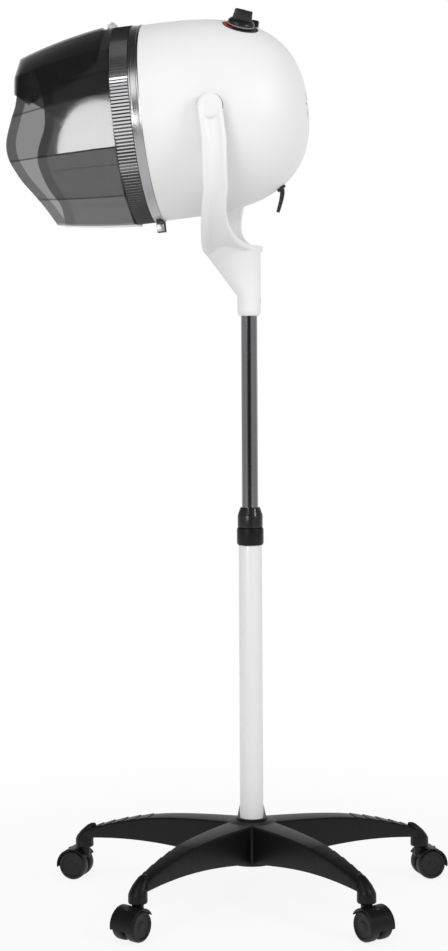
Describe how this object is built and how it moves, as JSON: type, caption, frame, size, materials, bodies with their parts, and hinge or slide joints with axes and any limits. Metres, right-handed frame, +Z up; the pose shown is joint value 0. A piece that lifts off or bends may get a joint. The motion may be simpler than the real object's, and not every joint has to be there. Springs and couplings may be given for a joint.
{
  "type": "standing hood dryer",
  "caption": "Salon hood dryer on a castered star base, with a sliding pole, a tilting white hood in a yoke, and a smoked faceted visor with a hinged flap.",
  "frame": {"origin": "on the floor, below the middle of the object's box", "axes": "+Z up along the pole; -X the way the hood's mouth faces; -Y the side with the temperature knob"},
  "size_m": [0.6459, 0.5961, 1.3395],
  "materials": {
    "black_nylon": "moulded black nylon, slightly glossy",
    "black_tyre": "black nylon wheel, satin",
    "zinc_steel": "zinc-plated steel",
    "white_paint": "white powder paint, satin",
    "white_plastic": "white moulded plastic, glossy",
    "chrome": "chromed steel tube",
    "band_steel": "bright steel strip",
    "smoked_plastic": "smoked see-through plastic, glossy",
    "clear_plastic": "clear plastic",
    "printed_dial": "dark dial plate",
    "grey_plastic": "grey moulded plastic",
    "motor_casing": "grey motor can",
    "heater_wire": "heater winding"
  },
  "bodies": {
    "base": {"base_star": "black_nylon", "hub_bolt": "zinc_steel", "lower_tube": "white_paint", "tube_plug": "black_nylon", "lock_body": "black_nylon", "lock_collet": "black_nylon"},
    "lock_nut": {"lock_nut": "black_nylon"},
    "upper": {"upper_tube": "chrome", "guide_bush": "black_nylon"},
    "yoke": {"yoke": "white_plastic", "yoke_grub_screw": "zinc_steel"},
    "hood": {"outer_shell": "white_plastic", "inner_bowl": "white_plastic", "band_clamp": "band_steel", "clamp_screw": "zinc_steel", "clamp_nut": "zinc_steel", "visor_collar": "smoked_plastic", "visor": "smoked_plastic", "hinge_base": "clear_plastic", "hinge_pin": "zinc_steel", "temperature_dial": "printed_dial", "temperature_switch": "grey_plastic", "timer_dial": "printed_dial", "timer_body": "grey_plastic", "motor": "motor_casing", "motor_bracket": "zinc_steel", "heater_frame": "grey_plastic", "heater_element": "heater_wire", "cord_gland": "black_nylon", "pivot_screw_near": "zinc_steel", "pivot_screw_far": "zinc_steel", "friction_washer_near": "black_nylon", "friction_washer_far": "black_nylon"},
    "flap": {"visor_flap": "smoked_plastic", "hinge_leaf": "clear_plastic"},
    "temperature_knob": {"temperature_knob": "black_nylon"},
    "timer_knob": {"timer_knob": "black_nylon"},
    "fan": {"fan_impeller": "black_nylon"},
    "caster_1": {"caster_body_1": "black_nylon", "caster_axle_1": "zinc_steel"},
    "wheel_left_1": {"wheel_left_1": "black_tyre"},
    "wheel_right_1": {"wheel_right_1": "black_tyre"},
    "caster_2": {"caster_body_2": "black_nylon", "caster_axle_2": "zinc_steel"},
    "wheel_left_2": {"wheel_left_2": "black_tyre"},
    "wheel_right_2": {"wheel_right_2": "black_tyre"},
    "caster_3": {"caster_body_3": "black_nylon", "caster_axle_3": "zinc_steel"},
    "wheel_left_3": {"wheel_left_3": "black_tyre"},
    "wheel_right_3": {"wheel_right_3": "black_tyre"},
    "caster_4": {"caster_body_4": "black_nylon", "caster_axle_4": "zinc_steel"},
    "wheel_left_4": {"wheel_left_4": "black_tyre"},
    "wheel_right_4": {"wheel_right_4": "black_tyre"},
    "caster_5": {"caster_body_5": "black_nylon", "caster_axle_5": "zinc_steel"},
    "wheel_left_5": {"wheel_left_5": "black_tyre"},
    "wheel_right_5": {"wheel_right_5": "black_tyre"}
  },
  "joints": [
    {"name": "caster_1_swivel", "type": "hinge", "parent": "base", "child": "caster_1", "pos_m": [0.00512, 0.25678, 0], "axis": [0, 0, 1], "continuous": true},
    {"name": "wheel_left_1_roll", "type": "hinge", "parent": "caster_1", "child": "wheel_left_1", "pos_m": [0.0038, 0.27072, 0.02207], "axis": [-0.9956, -0.0941, 0], "continuous": true},
    {"name": "wheel_right_1_roll", "type": "hinge", "parent": "caster_1", "child": "wheel_right_1", "pos_m": [0.0038, 0.27072, 0.02207], "axis": [-0.9956, -0.0941, 0], "continuous": true},
    {"name": "caster_2_swivel", "type": "hinge", "parent": "base", "child": "caster_2", "pos_m": [-0.23738, 0.04299, 0], "axis": [0, 0, 1], "continuous": true},
    {"name": "wheel_left_2_roll", "type": "hinge", "parent": "caster_2", "child": "wheel_left_2", "pos_m": [-0.25104, 0.04604, 0.02207], "axis": [-0.2181, -0.9759, 0], "continuous": true},
    {"name": "wheel_right_2_roll", "type": "hinge", "parent": "caster_2", "child": "wheel_right_2", "pos_m": [-0.25104, 0.04604, 0.02207], "axis": [-0.2181, -0.9759, 0], "continuous": true},
    {"name": "caster_3_swivel", "type": "hinge", "parent": "base", "child": "caster_3", "pos_m": [-0.10899, -0.2537, 0], "axis": [0, 0, 1], "continuous": true},
    {"name": "wheel_left_3_roll", "type": "hinge", "parent": "caster_3", "child": "wheel_left_3", "pos_m": [-0.11611, -0.26575, 0.02207], "axis": [0.8607, -0.509, 0], "continuous": true},
    {"name": "wheel_right_3_roll", "type": "hinge", "parent": "caster_3", "child": "wheel_right_3", "pos_m": [-0.11611, -0.26575, 0.02207], "axis": [0.8607, -0.509, 0], "continuous": true},
    {"name": "caster_4_swivel", "type": "hinge", "parent": "base", "child": "caster_4", "pos_m": [0.21286, -0.22328, 0], "axis": [0, 0, 1], "continuous": true},
    {"name": "wheel_left_4_roll", "type": "hinge", "parent": "caster_4", "child": "wheel_left_4", "pos_m": [0.22212, -0.23378, 0.02207], "axis": [0.7501, 0.6613, 0], "continuous": true},
    {"name": "wheel_right_4_roll", "type": "hinge", "parent": "caster_4", "child": "wheel_right_4", "pos_m": [0.22212, -0.23378, 0.02207], "axis": [0.7501, 0.6613, 0], "continuous": true},
    {"name": "caster_5_swivel", "type": "hinge", "parent": "base", "child": "caster_5", "pos_m": [0.28338, 0.09222, 0], "axis": [0, 0, 1], "continuous": true},
    {"name": "wheel_left_5_roll", "type": "hinge", "parent": "caster_5", "child": "wheel_left_5", "pos_m": [0.29623, 0.09778, 0.02207], "axis": [-0.3971, 0.9178, 0], "continuous": true},
    {"name": "wheel_right_5_roll", "type": "hinge", "parent": "caster_5", "child": "wheel_right_5", "pos_m": [0.29623, 0.09778, 0.02207], "axis": [-0.3971, 0.9178, 0], "continuous": true},
    {"name": "lock_turn", "type": "hinge", "parent": "base", "child": "lock_nut", "pos_m": [0.031, -0.017, 0.57], "axis": [0, 0, 1], "range_deg": [0, 180]},
    {"name": "height_slide", "type": "slide", "parent": "base", "child": "upper", "axis": [0, 0, 1], "range_m": [-0.2, 0.15]},
    {"name": "yoke_swivel", "type": "hinge", "parent": "upper", "child": "yoke", "pos_m": [0.031, -0.017, 0.9], "axis": [0, 0, 1], "continuous": true},
    {"name": "hood_tilt", "type": "hinge", "parent": "yoke", "child": "hood", "pos_m": [-0.01, -0.017, 1.184], "axis": [0, 1, 0], "range_deg": [-15, 30]},
    {"name": "flap_swing", "type": "hinge", "parent": "hood", "child": "flap", "pos_m": [-0.17501, -0.017, 1.32372], "axis": [0, 1, 0], "range_deg": [0, 75]},
    {"name": "temperature_turn", "type": "hinge", "parent": "hood", "child": "temperature_knob", "pos_m": [0.02514, -0.0651, 1.31367], "axis": [0.2493, -0.3367, 0.908], "range_deg": [-270, 0]},
    {"name": "timer_turn", "type": "hinge", "parent": "hood", "child": "timer_knob", "pos_m": [0.02514, 0.0311, 1.31367], "axis": [0.2493, 0.3367, 0.908], "range_deg": [-270, 0]},
    {"name": "fan_spin", "type": "hinge", "parent": "hood", "child": "fan", "pos_m": [-0.01, -0.017, 1.184], "axis": [0.9945, 0, 0.1045], "continuous": true}
  ]
}
